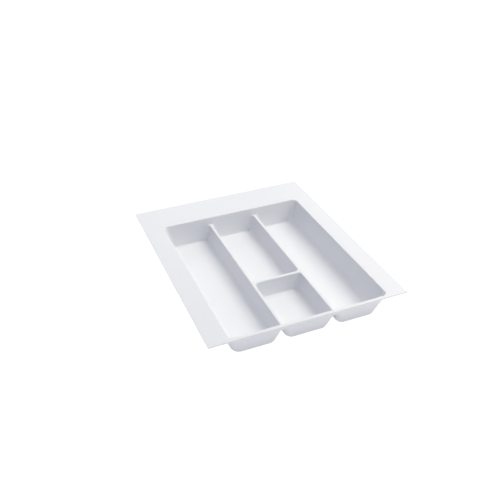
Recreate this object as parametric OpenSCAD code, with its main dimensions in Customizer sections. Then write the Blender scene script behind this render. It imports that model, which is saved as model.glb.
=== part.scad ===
// Drawer organizer insert: one vacuum-formed plastic sheet that drops into a drawer.
// The real tray is a single sheet, so each node is a named region of it. Neighbouring
// regions meet face to face on one shared surface and never overlap.
// Millimetres. Z is up, X is to the right, Y is towards the back of the drawer.
// The origin is on the drawer floor, under the centre of the tray's outline.

/* [Tray] */
// width over the trimmed flange, left to right
tray_w = 444.5; // [430:0.5:460]
// depth over the trimmed flange, front to back
tray_d = 539.75; // [530:0.25:560]
// height from the drawer floor to the top of the flange
tray_h = 60.3; // [52:0.1:70]
// thickness of the formed sheet
sheet_t = 2.4; // [1.6:0.1:2.4]

/* [Flange] */
// flat margin left of the recess
margin_left = 46.6; // [30:0.1:50]
// flat margin right of the recess
margin_right = 42.7; // [30:0.1:45]
// flat margin in front of the recess, trimmed short
margin_front = 8.4; // [5:0.1:20]
// flat margin behind the recess
margin_back = 90.6; // [60:0.1:100]

/* [Dividers] */
// centre line of the left divider
left_divider_x = -56; // [-65:0.5:-50]
// centre line of the right divider
right_divider_x = 62.5; // [55:0.5:70]
// centre line of the cross divider in the middle column
cross_divider_y = -90.5; // [-120:0.5:-60]
// width of a divider's top, measured between its walls' own lines
divider_w = 6.5; // [6:0.1:9]
// how far the dividers' tops lie below the flange
divider_drop = 18; // [14:0.5:24]

/* [Draft] */
// lean of the side walls and of the long dividers, in degrees
side_draft = 15; // [10:0.5:18]
// lean of the walls at the front of each pocket, in degrees
front_draft = 17; // [12:0.5:20]
// lean of the back wall, in degrees
back_draft = 8.2; // [5:0.1:10]

/* [Rounding] */
// radius of the rolled edge at the flange and along the dividers
lip_r = 2.5; // [2.4:0.1:2.8]
// radius of the recess's upright corners, seen from above
corner_r = 11; // [10:0.5:16]
// radius of a pocket's corners against a divider, seen from above
inner_corner_r = 8; // [6:0.5:10]
// how much the front corners open out for each millimetre of depth
corner_grow = 0.1; // [0:0.02:0.2]
// radius where side walls meet the floor
side_floor_r = 14; // [10:0.5:16]
// radius where front walls meet the floor
front_floor_r = 8; // [6:0.5:12]
// radius where back walls meet the floor
back_floor_r = 4; // [3:0.5:8]

/* [Output] */
// which sub-part to draw

/* [Hidden] */

// the recess's edge lines, where its walls' planes would meet the top of the flange
edge_x0 = -tray_w / 2 + margin_left;
edge_x1 = tray_w / 2 - margin_right;
edge_y0 = -tray_d / 2 + margin_front;
edge_y1 = tray_d / 2 - margin_back;

// plan travel of each wall for one millimetre of depth
side_t = tan(side_draft);
front_t = tan(front_draft);
back_t = tan(back_draft);

floor_depth = tray_h - sheet_t; // from the top of the flange to a pocket's floor
half_w = divider_w / 2;
ridge_w = 4.4;                  // half width of a divider's region
shelf_side = divider_drop * side_t;
shelf_front = divider_drop * front_t;
shelf_back = divider_drop * back_t;
fade_near = 12;                 // dividers' rounding is full within this distance of them
probe = 0.05;                   // step for the surface's slope

function clamp(v, lo, hi) = max(lo, min(hi, v));

// How far a round of unit radius reaches along the flat from a wall's edge line.
function reach(t) = sqrt(1 + t * t) - t;

// An opening: its edge lines at the flange's height, the drafts of its front and back
// walls, the radii of its left and right corners, and the growth of its front and back ones.
function opening(x0, x1, y0, y1, front, back, r_left, r_right, grow_front, grow_back) =
    [x0, x1, y0, y1, front, back, r_left, r_right, grow_front, grow_back];

whole = opening(edge_x0, edge_x1, edge_y0, edge_y1, front_t, back_t,
                corner_r, corner_r, corner_grow, 0);
left_open = opening(edge_x0, left_divider_x - half_w + shelf_side, edge_y0, edge_y1,
                    front_t, back_t, corner_r, inner_corner_r, corner_grow, 0);
right_open = opening(right_divider_x + half_w - shelf_side, edge_x1, edge_y0, edge_y1,
                     front_t, back_t, inner_corner_r, corner_r, corner_grow, 0);
rear_open = opening(left_divider_x + half_w - shelf_side, right_divider_x - half_w + shelf_side,
                    cross_divider_y + half_w - shelf_front, edge_y1,
                    front_t, back_t, inner_corner_r, inner_corner_r, 0, 0);
front_open = opening(left_divider_x + half_w - shelf_side, right_divider_x - half_w + shelf_side,
                     edge_y0, cross_divider_y - half_w + shelf_back,
                     front_t, back_t, inner_corner_r, inner_corner_r, corner_grow, 0);

// What an opening's walls do at a point: the depth they reach, the draft there, and how
// much of the wall faces sideways (1) or to the front or back (0). The plan outline is a
// rounded rectangle at every depth, so a corner's depth is the root of a quadratic.
function walls(x, y, o) =
    let (on_left = x - o[0] < o[1] - x,
         ux = on_left ? x - o[0] : o[1] - x,
         on_front = (y - o[2]) / o[4] < (o[3] - y) / o[5],
         uy = on_front ? y - o[2] : o[3] - y,
         ty = on_front ? o[4] : o[5],
         r = on_left ? o[6] : o[7],
         g = on_front ? o[8] : o[9],
         a = pow(side_t + g, 2) + pow(ty + g, 2) - g * g,
         b = (side_t + g) * (r - ux) + (ty + g) * (r - uy) - g * r,
         c = pow(r - ux, 2) + pow(r - uy, 2) - r * r,
         root = b * b - a * c,
         depth = root < 0 ? 0 : (sqrt(root) - b) / a,
         rd = max(r + g * depth, 1),
         cx = rd - ux + depth * side_t,
         cy = rd - uy + depth * ty,
         flat = min(ux / side_t, uy / ty),
         sideways = ux / side_t < uy / ty)
    root >= 0 && cx > 0 && cy > 0
        ? [depth, (side_t * cx + ty * cy) / rd, pow(cx / rd, 2), on_front]
        : [flat, sideways ? side_t : ty, sideways ? 1 : 0, on_front];

// Height, below the flange, of a wall that starts at depth `from`, with a rolled edge of
// radius `lip` at its top and a fillet of radius `r` at the floor.
function profile(depth, t, from, lip, floor_at, r) =
    let (s = (depth - from) * t,
         sec = sqrt(1 + t * t),
         lip_at = lip * reach(t),
         end = (floor_at - from) * t + r * reach(t))
    s <= -lip_at ? 0
    : s < lip / sec - lip_at ? sqrt(max(lip * lip - pow(s + lip_at, 2), 0)) - lip
    : s < end - r / sec ? from - depth
    : s < end ? from - floor_at + r - sqrt(max(r * r - pow(end - s, 2), 0))
    : from - floor_at;

// Distance in plan to the nearest divider's centre line.
function divider_distance(x, y) =
    min(abs(x - left_divider_x), abs(x - right_divider_x),
        x > left_divider_x && x < right_divider_x ? abs(y - cross_divider_y) : tray_d);

// How far a pocket is carved below the dividers' tops at a point.
function carved(x, y, o, lip) =
    let (w = walls(x, y, o),
         r = side_floor_r * w[2] + (w[3] ? front_floor_r : back_floor_r) * (1 - w[2]))
    profile(w[0], w[1], divider_drop, lip, floor_depth, r);

// The sheet's upper surface, as a height at each point of the plan.
function height(x, y) =
    let (w = walls(x, y, whole),
         round = lip_r * clamp(2 - divider_distance(x, y) / fade_near, 0.01, 1),
         shelf = profile(w[0], w[1], 0, lip_r, divider_drop, round),
         pocket = x < left_divider_x ? carved(x, y, left_open, round)
                : x > right_divider_x ? carved(x, y, right_open, round)
                : y > cross_divider_y ? carved(x, y, rear_open, round)
                : carved(x, y, front_open, round))
    tray_h + shelf + pocket;

function normal(x, y) =
    let (n = [height(x - probe, y) - height(x + probe, y),
              height(x, y - probe) - height(x, y + probe), 2 * probe])
    n / norm(n);

// A closed piece of the sheet over a grid of plan lines, with its underside one
// thickness away along the surface's normal.
module formed(xs, ys) {
    nx = len(xs);
    ny = len(ys);
    n = nx * ny;
    grid = [for (y = ys) for (x = xs) [x, y]];
    top = [for (p = grid) [p[0], p[1], height(p[0], p[1])]];
    under = [for (i = [0:n - 1]) top[i] - sheet_t * normal(grid[i][0], grid[i][1])];
    faces = [
        for (j = [0:ny - 2]) for (i = [0:nx - 2]) let (a = i + j * nx)
            each [[a, a + nx + 1, a + 1], [a, a + nx, a + nx + 1],
                  [a + n, a + n + 1, a + n + nx + 1], [a + n, a + n + nx + 1, a + n + nx]],
        for (i = [0:nx - 2]) let (a = i, b = i + (ny - 1) * nx)
            each [[a, a + 1, a + 1 + n], [a, a + 1 + n, a + n],
                  [b + 1, b, b + 1 + n], [b, b + n, b + 1 + n]],
        for (j = [0:ny - 2]) let (a = j * nx, b = a + nx - 1)
            each [[a + nx, a, a + n], [a + nx, a + n, a + nx + n],
                  [b, b + nx, b + n], [b + nx, b + nx + n, b + n]]];
    polyhedron(points = concat(top, under), faces = faces, convexity = 6);
}

// Plan distance from a wall's edge line to the end of its floor fillet.
function fillet_end(t, r) = floor_depth * t + r * reach(t);

// How far out from a wall with draft t its corners reach, where the wall round the
// corner has draft t_next and floor radius r_next. Beyond this the wall runs straight.
function corner_end(t, t_next, r_next, corner, grow) =
    let (d = fillet_end(t_next, r_next) / t_next) t * d + corner + grow * d;

// Plan lines of a pocket's wall, inwards from its edge line and moved by `shift`:
// `rise` lines on the wall from the distance `from`, then `steps` more over its fillet.
function wall_lines(t, from, rise, r, steps, shift = 0) =
    let (end = fillet_end(t, r), tangent = end - r / sqrt(1 + t * t))
    concat([for (k = [0:rise - 1]) shift + from + (tangent - from) * k / rise],
           [for (k = [0:steps]) shift + end - (end - tangent) * cos(90 * k / steps)]);

// The wall's lines, and then those over the floor to the far end of its corners.
function long_lines(wall, far) =
    let (end = wall[len(wall) - 1])
    concat(wall, [for (share = [0.3, 0.65, 1]) end + (far - end) * share]);

// Lines across the rolled edge of the recess, from the flange down to the dividers' height.
function rim_lines(t) =
    let (lip_at = lip_r * reach(t), wall_at = lip_r / sqrt(1 + t * t) - lip_at)
    [-lip_at, lip_r * 0.45 - lip_at, lip_r * 0.8 - lip_at, wall_at,
     (wall_at + divider_drop * t) / 2, divider_drop * t];

// Lines across half of a divider's top, out from its centre line.
ridge_lines = [0, half_w - lip_r * reach(side_t), half_w - 0.6, half_w + 0.2, ridge_w];

function flipped(list) = [for (i = [len(list) - 1:-1:0]) list[i]];
function from_low(at, list) = [for (s = list) at + s];
function from_high(at, list) = [for (s = flipped(list)) at - s];
function across(at, list) = concat([for (i = [len(list) - 1:-1:1]) at - list[i]], from_low(at, list));

// joins lists whose ends coincide
function chain(lists, i = 0) =
    i == len(lists) - 1 ? lists[i]
    : concat([for (k = [0:len(lists[i]) - 2]) lists[i][k]], chain(lists, i + 1));

// walls round the recess, out from its edge lines
side_rim = rim_lines(side_t);
side_wall = wall_lines(side_t, shelf_side, 3, side_floor_r, 4);
side_long = long_lines(side_wall, corner_end(side_t, front_t, front_floor_r, corner_r, corner_grow));
front_wall_y = wall_lines(front_t, shelf_front, 3, front_floor_r, 3);
front_long = long_lines(front_wall_y, corner_end(front_t, side_t, side_floor_r, corner_r, corner_grow));
back_wall_y = wall_lines(back_t, shelf_back, 2, back_floor_r, 2);
back_long = long_lines(back_wall_y, corner_end(back_t, side_t, side_floor_r, corner_r, 0));

// a divider's faces, out from its centre line
to_side = half_w - shelf_side;
to_front = half_w - shelf_front;
to_back = half_w - shelf_back;
divider_wall = wall_lines(side_t, ridge_w - to_side, 3, side_floor_r, 4, to_side);
divider_long = long_lines(divider_wall,
    to_side + corner_end(side_t, front_t, front_floor_r, inner_corner_r, corner_grow));
cross_wall_back = wall_lines(front_t, ridge_w - to_front, 3, front_floor_r, 3, to_front);
cross_long_back = long_lines(cross_wall_back,
    to_front + corner_end(front_t, side_t, side_floor_r, inner_corner_r, 0));
cross_wall_front = wall_lines(back_t, ridge_w - to_back, 2, back_floor_r, 2, to_back);
cross_long_front = long_lines(cross_wall_front,
    to_back + corner_end(back_t, side_t, side_floor_r, inner_corner_r, 0));

left_x = concat(from_low(edge_x0, side_long), from_high(left_divider_x, divider_long));
middle_x = concat(from_low(left_divider_x, divider_long), from_high(right_divider_x, divider_long));
right_x = concat(from_low(right_divider_x, divider_long), from_high(edge_x1, side_long));
ridge_left_x = across(left_divider_x, ridge_lines);
ridge_right_x = across(right_divider_x, ridge_lines);
ridge_cross_y = across(cross_divider_y, ridge_lines);

// each pocket's front and back ends
front_end_y = from_low(edge_y0, front_long);
back_end_y = from_high(edge_y1, back_long);
cross_front_y = from_high(cross_divider_y, cross_long_front);
cross_back_y = from_low(cross_divider_y, cross_long_back);
long_y = concat(front_end_y, back_end_y);
ridge_y = chain([concat(front_end_y, cross_front_y), ridge_cross_y, concat(cross_back_y, back_end_y)]);
all_x = chain([from_low(edge_x0, side_rim), left_x, ridge_left_x, middle_x, ridge_right_x, right_x,
               from_high(edge_x1, side_rim)]);

flange_x0 = edge_x0 - lip_r * reach(side_t);
flange_x1 = edge_x1 + lip_r * reach(side_t);
flange_y0 = edge_y0 - lip_r * reach(front_t);
flange_y1 = edge_y1 + lip_r * reach(back_t);

// A flat piece of the sheet between two plan corners, with its top at height z.
module flat(x0, y0, x1, y1, z) {
    translate([x0, y0, z - sheet_t])
        cube([x1 - x0, y1 - y0, sheet_t]);
}

function last(list) = list[len(list) - 1];

// The straight run of a pocket, between the far lines of its front and back ends:
// its floor between the fillets of its side walls, and one of those walls.
module run_floor(left, right, front_y, back_y) {
    flat(last(left), last(front_y), right[0], back_y[0], sheet_t);
}
module run_side(xs, front_y, back_y) {
    formed(xs, [last(front_y), back_y[0]]);
}

sheet_white = [0.93, 0.935, 0.945];

module front_flange() color(sheet_white) flat(-tray_w / 2, -tray_d / 2, tray_w / 2, flange_y0, tray_h);
module back_flange() color(sheet_white) flat(-tray_w / 2, flange_y1, tray_w / 2, tray_d / 2, tray_h);
module left_flange() color(sheet_white) flat(-tray_w / 2, flange_y0, flange_x0, flange_y1, tray_h);
module right_flange() color(sheet_white) flat(flange_x1, flange_y0, tray_w / 2, flange_y1, tray_h);

module front_wall() color(sheet_white) formed(all_x, from_low(edge_y0, rim_lines(front_t)));
module back_wall() color(sheet_white) formed(all_x, from_high(edge_y1, rim_lines(back_t)));
module left_wall() color(sheet_white) formed(from_low(edge_x0, side_rim), long_y);
module right_wall() color(sheet_white) formed(from_high(edge_x1, side_rim), long_y);

module left_divider() color(sheet_white) formed(ridge_left_x, ridge_y);
module right_divider() color(sheet_white) formed(ridge_right_x, ridge_y);
module cross_divider() color(sheet_white) formed(middle_x, ridge_cross_y);

// the lines of the pockets' side walls
left_outer = from_low(edge_x0, side_wall);
left_inner = from_high(left_divider_x, divider_wall);
middle_left = from_low(left_divider_x, divider_wall);
middle_right = from_high(right_divider_x, divider_wall);
right_inner = from_low(right_divider_x, divider_wall);
right_outer = from_high(edge_x1, side_wall);

module left_pocket_floor() color(sheet_white) run_floor(left_outer, left_inner, front_end_y, back_end_y);
module left_pocket_left_side() color(sheet_white) run_side(left_outer, front_end_y, back_end_y);
module left_pocket_right_side() color(sheet_white) run_side(left_inner, front_end_y, back_end_y);
module left_pocket_front_end() color(sheet_white) formed(left_x, front_end_y);
module left_pocket_back_end() color(sheet_white) formed(left_x, back_end_y);

module right_pocket_floor() color(sheet_white) run_floor(right_inner, right_outer, front_end_y, back_end_y);
module right_pocket_left_side() color(sheet_white) run_side(right_inner, front_end_y, back_end_y);
module right_pocket_right_side() color(sheet_white) run_side(right_outer, front_end_y, back_end_y);
module right_pocket_front_end() color(sheet_white) formed(right_x, front_end_y);
module right_pocket_back_end() color(sheet_white) formed(right_x, back_end_y);

module rear_middle_pocket_floor() color(sheet_white) run_floor(middle_left, middle_right, cross_back_y, back_end_y);
module rear_middle_pocket_left_side() color(sheet_white) run_side(middle_left, cross_back_y, back_end_y);
module rear_middle_pocket_right_side() color(sheet_white) run_side(middle_right, cross_back_y, back_end_y);
module rear_middle_pocket_front_end() color(sheet_white) formed(middle_x, cross_back_y);
module rear_middle_pocket_back_end() color(sheet_white) formed(middle_x, back_end_y);

module front_middle_pocket_floor() color(sheet_white) run_floor(middle_left, middle_right, front_end_y, cross_front_y);
module front_middle_pocket_left_side() color(sheet_white) run_side(middle_left, front_end_y, cross_front_y);
module front_middle_pocket_right_side() color(sheet_white) run_side(middle_right, front_end_y, cross_front_y);
module front_middle_pocket_front_end() color(sheet_white) formed(middle_x, front_end_y);
module front_middle_pocket_back_end() color(sheet_white) formed(middle_x, cross_front_y);

front_flange();
back_flange();
left_flange();
right_flange();
front_wall();
back_wall();
left_wall();
right_wall();
left_divider();
right_divider();
cross_divider();
left_pocket_floor();
left_pocket_left_side();
left_pocket_right_side();
left_pocket_front_end();
left_pocket_back_end();
right_pocket_floor();
right_pocket_left_side();
right_pocket_right_side();
right_pocket_front_end();
right_pocket_back_end();
rear_middle_pocket_floor();
rear_middle_pocket_left_side();
rear_middle_pocket_right_side();
rear_middle_pocket_front_end();
rear_middle_pocket_back_end();
front_middle_pocket_floor();
front_middle_pocket_left_side();
front_middle_pocket_right_side();
front_middle_pocket_front_end();
front_middle_pocket_back_end();
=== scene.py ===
import math

import bmesh
import bpy
from mathutils import Matrix, Vector


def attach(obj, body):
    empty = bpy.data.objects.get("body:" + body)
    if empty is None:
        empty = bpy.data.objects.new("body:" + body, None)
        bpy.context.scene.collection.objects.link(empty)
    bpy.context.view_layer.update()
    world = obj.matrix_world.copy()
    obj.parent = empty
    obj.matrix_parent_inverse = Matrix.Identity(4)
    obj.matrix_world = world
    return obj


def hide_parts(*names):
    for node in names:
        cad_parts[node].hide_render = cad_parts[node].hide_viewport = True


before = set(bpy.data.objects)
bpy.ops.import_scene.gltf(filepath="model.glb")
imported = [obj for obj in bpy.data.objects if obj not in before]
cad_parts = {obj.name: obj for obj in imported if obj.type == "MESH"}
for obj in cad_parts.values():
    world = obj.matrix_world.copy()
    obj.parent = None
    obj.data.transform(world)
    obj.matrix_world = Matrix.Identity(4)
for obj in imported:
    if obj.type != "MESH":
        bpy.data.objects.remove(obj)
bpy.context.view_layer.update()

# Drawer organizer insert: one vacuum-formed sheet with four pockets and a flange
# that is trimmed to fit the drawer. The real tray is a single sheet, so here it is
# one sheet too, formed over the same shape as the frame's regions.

mm = 0.001


def linearColour(hexText):
    # sRGB hex to the linear values that a shader takes
    channels = [int(hexText[i:i + 2], 16) / 255 for i in (1, 3, 5)]
    linear = [c / 12.92 if c <= 0.04045 else ((c + 0.055) / 1.055) ** 2.4 for c in channels]
    return (*linear, 1.0)


def addNode(tree, kind, settings=None, links=None):
    # one shader node with its settings, input values and links
    node = tree.nodes.new(kind)
    for name, value in (settings or {}).items():
        if name in node.inputs:
            node.inputs[name].default_value = value
        else:
            setattr(node, name, value)
    for name, source in (links or {}).items():
        tree.links.new(source, node.inputs[name])
    return node


# The mould that the sheet is drawn down over, in millimetres and degrees.
mould = {
    "width": 444.5, "depth": 539.75, "height": 60.3,
    "recessX": (-175.65, 179.55),   # the recess's edge lines at the flange
    "recessY": (-261.475, 179.275),
    "dividerX": (-56, 62.5),        # centre lines of the long dividers
    "crossY": -90.5,                # centre line of the short divider between them
    "dividerWidth": 6.5,
    "dividerDrop": 18,              # dividers' tops below the flange
    "sideDraft": 15, "frontDraft": 17, "backDraft": 8.2,
    "lip": 2.5,                     # rolled edge at the flange and on the dividers
    "corner": 11, "innerCorner": 8, "cornerGrow": 0.1,
    "sideFillet": 14, "frontFillet": 8, "backFillet": 4,
    "rollFade": 12,                 # the shelf's rounding is full this near a divider
}
sheet = {
    "thickness": 2.4,
    "cutEdge": 0.2,                 # broken corner of the trimmed flange
    "lipStep": 0.55,                # spacing of the sheet's lines over a rolled edge
    "wallStep": 1.5,                # over the walls and fillets
    "flatStep": 12,                 # over the flats
    "widening": 0.3,                # how fast the spacing grows away from a bend
    "lipSpan": 3.5,                 # lines stay close this far either side of the recess's edge
    "wallSpan": 18,                 # half the width of a side or front wall with its fillet
    "backSpan": 12, "backMiddle": 11,           # the same for the back wall, and its middle
    "ridgeSpan": 6,                 # half the width of a divider's top
    "longRidgeFoot": 30, "crossRidgeFoot": 26,  # from a divider's centre line to its foot
    "rimAngle": 70,                 # degrees, edges sharper than this are the trimmed rim
    "creaseAngle": 22,              # degrees, edges blunter than this are shaded smooth
}

sideLean = math.tan(math.radians(mould["sideDraft"]))
frontLean = math.tan(math.radians(mould["frontDraft"]))
backLean = math.tan(math.radians(mould["backDraft"]))
floorDepth = mould["height"] - sheet["thickness"]
halfDivider = mould["dividerWidth"] / 2
drop = mould["dividerDrop"]


def mouldOpening(x0, x1, y0, y1, leftCorner, rightCorner, grow):
    # edge lines at the flange's height, corner radii, growth of the front corners
    return {"x": (x0, x1), "y": (y0, y1), "corner": (leftCorner, rightCorner), "grow": grow}


recessX, recessY = mould["recessX"], mould["recessY"]
leftDivider, rightDivider = mould["dividerX"]
crossY = mould["crossY"]
outer, inner, grow = mould["corner"], mould["innerCorner"], mould["cornerGrow"]
middleX = (leftDivider + halfDivider - drop * sideLean, rightDivider - halfDivider + drop * sideLean)
recess = mouldOpening(*recessX, *recessY, outer, outer, grow)
leftPocket = mouldOpening(recessX[0], leftDivider - halfDivider + drop * sideLean, *recessY,
                          outer, inner, grow)
rightPocket = mouldOpening(rightDivider + halfDivider - drop * sideLean, recessX[1], *recessY,
                           inner, outer, grow)
rearPocket = mouldOpening(*middleX, crossY + halfDivider - drop * frontLean, recessY[1],
                          inner, inner, 0)
frontPocket = mouldOpening(*middleX, recessY[0], crossY - halfDivider + drop * backLean,
                           inner, inner, grow)


def wallAt(x, y, hole):
    # depth that the walls reach here, their lean, how far they face sideways, front or not
    onLeft = x - hole["x"][0] < hole["x"][1] - x
    acrossX = x - hole["x"][0] if onLeft else hole["x"][1] - x
    onFront = (y - hole["y"][0]) / frontLean < (hole["y"][1] - y) / backLean
    acrossY = y - hole["y"][0] if onFront else hole["y"][1] - y
    lean = frontLean if onFront else backLean
    radius = hole["corner"][0 if onLeft else 1]
    widen = hole["grow"] if onFront else 0
    # the outline is a rounded rectangle at every depth, so a corner's depth is a root
    a = (sideLean + widen) ** 2 + (lean + widen) ** 2 - widen ** 2
    b = (sideLean + widen) * (radius - acrossX) + (lean + widen) * (radius - acrossY) - widen * radius
    c = (radius - acrossX) ** 2 + (radius - acrossY) ** 2 - radius ** 2
    inside = b * b - a * c
    if inside >= 0:
        depth = (math.sqrt(inside) - b) / a
        roundness = max(radius + widen * depth, 1)
        cornerX = roundness - acrossX + depth * sideLean
        cornerY = roundness - acrossY + depth * lean
        if cornerX > 0 and cornerY > 0:
            cornerLean = (sideLean * cornerX + lean * cornerY) / roundness
            return depth, cornerLean, (cornerX / roundness) ** 2, onFront
    if acrossX / sideLean < acrossY / lean:
        return acrossX / sideLean, sideLean, 1, onFront
    return acrossY / lean, lean, 0, onFront


def wallDrop(depth, lean, start, lip, floor, fillet):
    # height below the start of a wall with a rolled top edge and a fillet at its floor
    s = (depth - start) * lean
    slant = math.sqrt(1 + lean * lean)
    lipReach = lip * (slant - lean)
    end = (floor - start) * lean + fillet * (slant - lean)
    if s <= -lipReach:
        return 0
    if s < lip / slant - lipReach:
        return math.sqrt(max(lip * lip - (s + lipReach) ** 2, 0)) - lip
    if s < end - fillet / slant:
        return start - depth
    if s < end:
        return start - floor + fillet - math.sqrt(max(fillet * fillet - (end - s) ** 2, 0))
    return start - floor


def sheetHeight(x, y):
    # the sheet's upper face
    near = min(abs(x - leftDivider), abs(x - rightDivider))
    if leftDivider < x < rightDivider:
        near = min(near, abs(y - crossY))
    roll = mould["lip"] * max(0.01, min(1, 2 - near / mould["rollFade"]))
    depth, lean, _, _ = wallAt(x, y, recess)
    shelf = wallDrop(depth, lean, 0, mould["lip"], drop, roll)
    if x < leftDivider:
        pocket = leftPocket
    elif x > rightDivider:
        pocket = rightPocket
    else:
        pocket = rearPocket if y > crossY else frontPocket
    depth, lean, sideways, onFront = wallAt(x, y, pocket)
    endFillet = mould["frontFillet"] if onFront else mould["backFillet"]
    fillet = mould["sideFillet"] * sideways + endFillet * (1 - sideways)
    return mould["height"] + shelf + wallDrop(depth, lean, drop, roll, floorDepth, fillet)


def sheetLines(low, high, bends):
    # lines close together where the sheet bends and wide apart on its flats
    lines = [low]
    while lines[-1] < high:
        steps = [step + sheet["widening"] * max(0, abs(lines[-1] - at) - span)
                 for at, span, step in bends]
        lines.append(lines[-1] + min(*steps, sheet["flatStep"]))
    fit = (high - low) / (lines[-1] - low)
    return [low + (line - low) * fit for line in lines]


def formSheet():
    lip, wall = sheet["lipStep"], sheet["wallStep"]
    lipSpan, wallSpan = sheet["lipSpan"], sheet["wallSpan"]
    backSpan, backMiddle = sheet["backSpan"], sheet["backMiddle"]
    halfWidth, halfLength = mould["width"] / 2, mould["depth"] / 2
    # each bend is the middle of a stretch, half the stretch and the spacing on it
    bendsX = [(recessX[0], lipSpan, lip), (recessX[0] + wallSpan, wallSpan, wall),
              (recessX[1], lipSpan, lip), (recessX[1] - wallSpan, wallSpan, wall)]
    for at in mould["dividerX"]:
        bendsX += [(at, sheet["ridgeSpan"], lip), (at, sheet["longRidgeFoot"], wall)]
    bendsY = [(recessY[0], lipSpan, lip), (recessY[0] + wallSpan, wallSpan, wall),
              (crossY, sheet["ridgeSpan"], lip), (crossY, sheet["crossRidgeFoot"], wall),
              (recessY[1], lipSpan, lip), (recessY[1] - backMiddle, backSpan, wall)]
    linesX = sheetLines(-halfWidth, halfWidth, bendsX)
    linesY = sheetLines(-halfLength, halfLength, bendsY)
    bm = bmesh.new()
    bmesh.ops.create_grid(bm, x_segments=len(linesX) - 1, y_segments=len(linesY) - 1, size=1)
    for v in bm.verts:
        x = linesX[round((v.co.x + 1) / 2 * (len(linesX) - 1))]
        y = linesY[round((v.co.y + 1) / 2 * (len(linesY) - 1))]
        v.co = (x * mm, y * mm, sheetHeight(x, y) * mm)
    bm.normal_update()
    bmesh.ops.solidify(bm, geom=bm.faces[:], thickness=sheet["thickness"] * mm)
    bm.normal_update()
    rimAngle, creaseAngle = math.radians(sheet["rimAngle"]), math.radians(sheet["creaseAngle"])
    rim = [e for e in bm.edges if e.is_manifold and e.calc_face_angle() > rimAngle]
    bmesh.ops.bevel(bm, geom=rim, offset=sheet["cutEdge"] * mm, segments=2, profile=0.5,
                    affect="EDGES", material=-1)
    bmesh.ops.recalc_face_normals(bm, faces=bm.faces)
    for face in bm.faces:
        face.smooth = True
    for edge in bm.edges:
        edge.smooth = not edge.is_manifold or edge.calc_face_angle() < creaseAngle
    mesh = bpy.data.meshes.new("formed_sheet")
    bm.to_mesh(mesh)
    bm.free()
    piece = bpy.data.objects.new("formed_sheet", mesh)
    bpy.context.scene.collection.objects.link(piece)
    print(f"sheet: {len(linesX)} x {len(linesY)} lines, {len(mesh.polygons)} faces")
    return piece


# High-impact polystyrene sheet, white all through, vacuum formed: a smooth satin face
# with a soft sheen, and a faint waviness where the hot sheet was drawn and cooled.
polystyrene = {
    "colour": "#E6E8EB",
    "roughness": 0.38, "roughnessSpread": 0.05,
    "ior": 1.59,
    "wave": 14,                     # mm between the faint waves
    "waveHeight": 0.02,             # mm
    "grain": 1.2,                   # mm, the mould's fine texture, drawn coarse enough to show
    "grainHeight": 0.004,           # mm
}


def polystyreneFinish():
    material = bpy.data.materials.new("vacuumFormedPolystyrene")
    material.use_nodes = True
    tree = material.node_tree
    tree.nodes.clear()
    place = addNode(tree, "ShaderNodeTexCoord").outputs["Object"]
    wave = addNode(tree, "ShaderNodeTexNoise",
                   {"Scale": 1 / (polystyrene["wave"] * mm), "Detail": 1.0, "Roughness": 0.4},
                   {"Vector": place})
    grain = addNode(tree, "ShaderNodeTexNoise",
                    {"Scale": 1 / (polystyrene["grain"] * mm), "Detail": 2.0, "Roughness": 0.5},
                    {"Vector": place})
    waveBump = addNode(tree, "ShaderNodeBump",
                       {"Strength": 1.0, "Distance": polystyrene["waveHeight"] * mm},
                       {"Height": wave.outputs["Fac"]})
    grainBump = addNode(tree, "ShaderNodeBump",
                        {"Strength": 1.0, "Distance": polystyrene["grainHeight"] * mm},
                        {"Height": grain.outputs["Fac"], "Normal": waveBump.outputs["Normal"]})
    low = polystyrene["roughness"] - polystyrene["roughnessSpread"]
    high = polystyrene["roughness"] + polystyrene["roughnessSpread"]
    sheen = addNode(tree, "ShaderNodeMapRange", {"To Min": low, "To Max": high},
                    {"Value": grain.outputs["Fac"]})
    shader = addNode(tree, "ShaderNodeBsdfPrincipled",
                     {"Base Color": linearColour(polystyrene["colour"]), "IOR": polystyrene["ior"]},
                     {"Roughness": sheen.outputs["Result"], "Normal": grainBump.outputs["Normal"]})
    addNode(tree, "ShaderNodeOutputMaterial", links={"Surface": shader.outputs["BSDF"]})
    return material


formedSheet = formSheet()
formedSheet.data.materials.append(polystyreneFinish())
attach(formedSheet, "root")
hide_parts(*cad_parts)  # every region of the frame is part of this one sheet
print("sheet formed and finished")

# A pale table that catches the tray's shadow and throws light back up at it. The
# camera sees a plain white sweep and backdrop in its place, with no shadow on them.
studio = {
    "floorSize": 14, "floorDrop": 0.2,          # metres, and mm below the tray
    "floorColour": "#E0E0E0", "floorGlow": 0.346,
    "sweepDrop": 0.6, "sweepGlow": 1.1,         # mm below the tray, and just past white
    "ambient": 0.464, "ambientColour": "#EBEDFF",
    "softboxes": {
        "key": {"size": 1.8, "power": 53.2, "at": (1.25, 0, 2.165), "colour": "#FFFBEF"},
        "back": {"size": 1.4, "power": 6.1, "at": (0, 2.207, 1.174), "colour": "#F9FFFD"},
        "rightBack": {"size": 1.4, "power": 2.2, "at": (1.561, 1.561, 1.174), "colour": "#FFFCDE"},
    },
}


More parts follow.
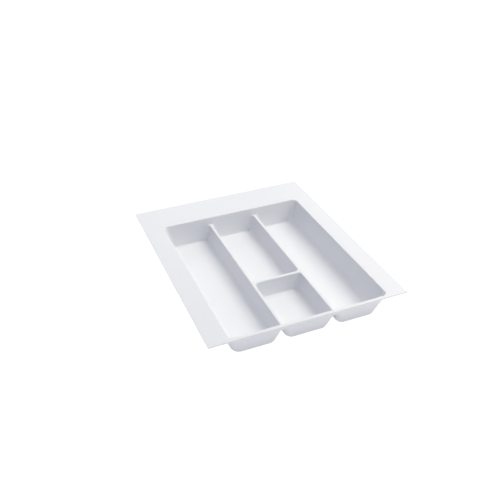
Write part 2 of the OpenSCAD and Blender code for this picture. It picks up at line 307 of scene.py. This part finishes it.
def layPlane(name, below, colour, glow):
    bm = bmesh.new()
    bmesh.ops.create_grid(bm, x_segments=1, y_segments=1, size=studio["floorSize"] / 2)
    bmesh.ops.translate(bm, verts=bm.verts, vec=(0, 0, -below * mm))
    mesh = bpy.data.meshes.new(name)
    bm.to_mesh(mesh)
    bm.free()
    plane = bpy.data.objects.new(name, mesh)
    bpy.context.scene.collection.objects.link(plane)
    material = bpy.data.materials.new(name + "Paint")
    material.use_nodes = True
    tree = material.node_tree
    tree.nodes.clear()
    shader = addNode(tree, "ShaderNodeBsdfPrincipled",
                     {"Base Color": linearColour(colour), "Roughness": 1.0,
                      "Specular IOR Level": 0.0, "Emission Color": (1, 1, 1, 1),
                      "Emission Strength": glow})
    addNode(tree, "ShaderNodeOutputMaterial", links={"Surface": shader.outputs["BSDF"]})
    mesh.materials.append(material)
    return plane


def layFloor():
    # the table lights the tray, the sweep only shows
    table = layPlane("studio_table", studio["floorDrop"], studio["floorColour"], studio["floorGlow"])
    table.visible_camera = False
    sweep = layPlane("studio_sweep", studio["sweepDrop"], "#000000", studio["sweepGlow"])
    sweep.visible_diffuse = False
    sweep.visible_glossy = False
    sweep.visible_transmission = False
    sweep.visible_shadow = False


def hangLights():
    # the air lights the tray, and past the sweep's edge the camera sees plain white
    world = bpy.data.worlds.new("studio_air")
    world.use_nodes = True
    tree = world.node_tree
    tree.nodes.clear()
    air = addNode(tree, "ShaderNodeBackground", {"Color": linearColour(studio["ambientColour"]),
                                                 "Strength": studio["ambient"]})
    backdrop = addNode(tree, "ShaderNodeBackground", {"Color": (1, 1, 1, 1),
                                                      "Strength": studio["sweepGlow"]})
    seen = addNode(tree, "ShaderNodeLightPath").outputs["Is Camera Ray"]
    both = addNode(tree, "ShaderNodeMixShader",
                   links={0: seen, 1: air.outputs["Background"], 2: backdrop.outputs["Background"]})
    addNode(tree, "ShaderNodeOutputWorld", links={"Surface": both.outputs["Shader"]})
    bpy.context.scene.world = world
    for name, box in studio["softboxes"].items():
        lamp = bpy.data.lights.new(name, "AREA")
        lamp.shape = "SQUARE"
        lamp.size = box["size"]
        lamp.energy = box["power"]
        lamp.color = linearColour(box["colour"])[:3]
        light = bpy.data.objects.new(name, lamp)
        bpy.context.scene.collection.objects.link(light)
        light.location = box["at"]
        light.rotation_euler = (-Vector(box["at"])).to_track_quat("-Z", "Y").to_euler()


# The camera looks down at the tray from the front left.
shot = {
    "azimuth": 22.535, "elevation": 33.713, "roll": -0.442,  # degrees
    "aim": (-0.02018, 0.00667, 0.0603), "distance": 1.53561, "lens": 47.93,
}


def setCamera():
    azimuth, elevation = math.radians(shot["azimuth"]), math.radians(shot["elevation"])
    ahead = Vector((math.sin(azimuth) * math.cos(elevation), math.cos(azimuth) * math.cos(elevation),
                    -math.sin(elevation)))
    lens = bpy.data.cameras.new("studio_camera")
    lens.lens = shot["lens"]
    lens.clip_end = 50  # metres, well past the far edge of the floor
    camera = bpy.data.objects.new("studio_camera", lens)
    bpy.context.scene.collection.objects.link(camera)
    turn = ahead.to_track_quat("-Z", "Y").to_matrix() @ Matrix.Rotation(math.radians(shot["roll"]), 3, "Z")
    camera.matrix_world = Matrix.Translation(Vector(shot["aim"]) - shot["distance"] * ahead) @ turn.to_4x4()
    bpy.context.scene.camera = camera


layFloor()
hangLights()
setCamera()
bpy.context.scene.view_settings.view_transform = "Standard"
print("floor, lights and camera placed")
